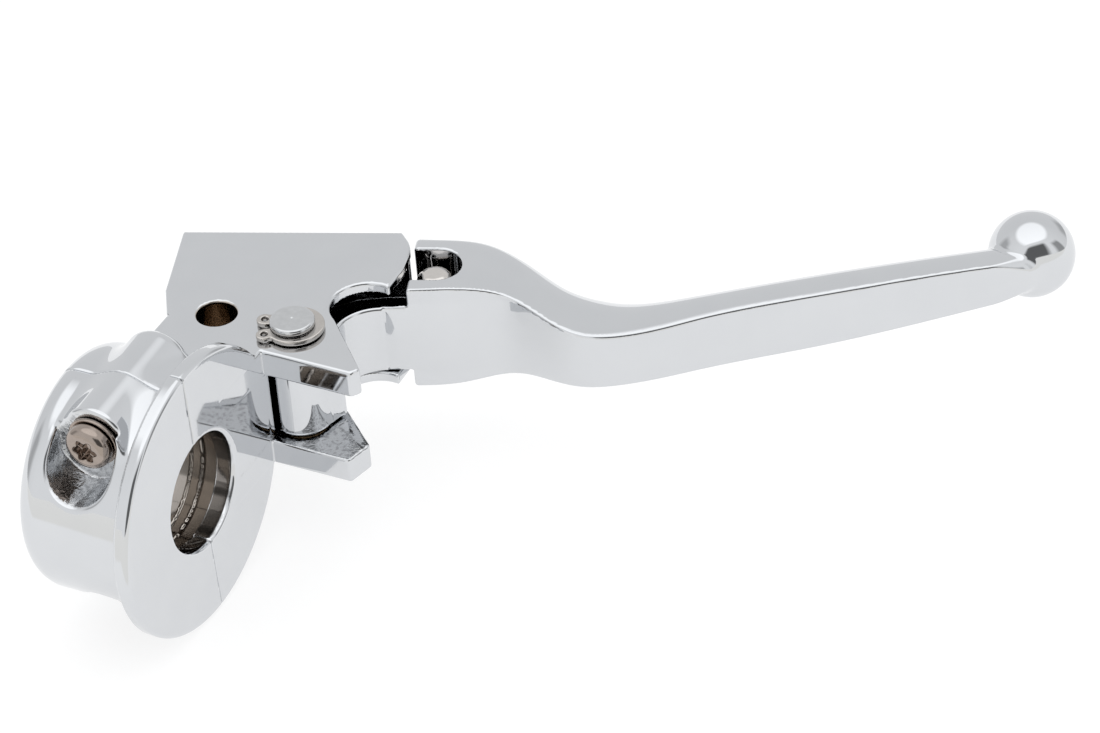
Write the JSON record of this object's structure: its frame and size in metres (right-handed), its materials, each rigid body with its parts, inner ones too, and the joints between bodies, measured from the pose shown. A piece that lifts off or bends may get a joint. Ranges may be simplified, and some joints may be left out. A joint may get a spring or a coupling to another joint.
{
  "type": "motorcycle clutch lever assembly",
  "caption": "Chromed clutch lever with a ball end, hinged on a two-piece handlebar clamp bracket with a cable inlet and a mirror stem hole.",
  "frame": {"origin": "on the handlebar's centre line, at the outer face of the clamp flange", "axes": "+X out along the handlebar towards the lever's ball end, +Y away from the rider, +Z along the pivot pin towards its retaining ring"},
  "size_m": [0.1726, 0.1747, 0.0618],
  "materials": {
    "chrome_castings": "polished chrome plate over a casting",
    "chrome_lever": "polished chrome plate over a forging",
    "pin_steel": "chrome plated steel, polished",
    "bushing_bronze": "plain bearing bronze",
    "ring_nickel": "nickel plated spring steel",
    "anchor_nickel": "nickel plated steel",
    "fastener_nickel": "nickel plated steel, slightly warm"
  },
  "bodies": {
    "perch": {"perch_bracket": "chrome_castings", "clamp_cap": "chrome_castings", "upper_clamp_screw": "fastener_nickel", "lower_clamp_screw": "fastener_nickel", "upper_clamp_washer": "fastener_nickel", "lower_clamp_washer": "fastener_nickel", "pivot_pin": "pin_steel", "retaining_ring": "ring_nickel"},
    "lever": {"clutch_lever": "chrome_lever", "pivot_bushing": "bushing_bronze"},
    "anchor": {"anchor_pin": "anchor_nickel"}
  },
  "joints": [
    {"name": "lever_pivot", "type": "hinge", "parent": "perch", "child": "lever", "pos_m": [0.00287, 0.0364, 0.0022], "axis": [0, 0, -1], "range_deg": [0, 32]},
    {"name": "anchor_swivel", "type": "hinge", "parent": "lever", "child": "anchor", "pos_m": [0.01799, 0.07009, 0.0022], "axis": [0, 0, -1], "range_deg": [-32, 0]}
  ],
  "couplings": [
    {"joint": "anchor_swivel", "follows": "lever_pivot", "ratio": -1}
  ]
}
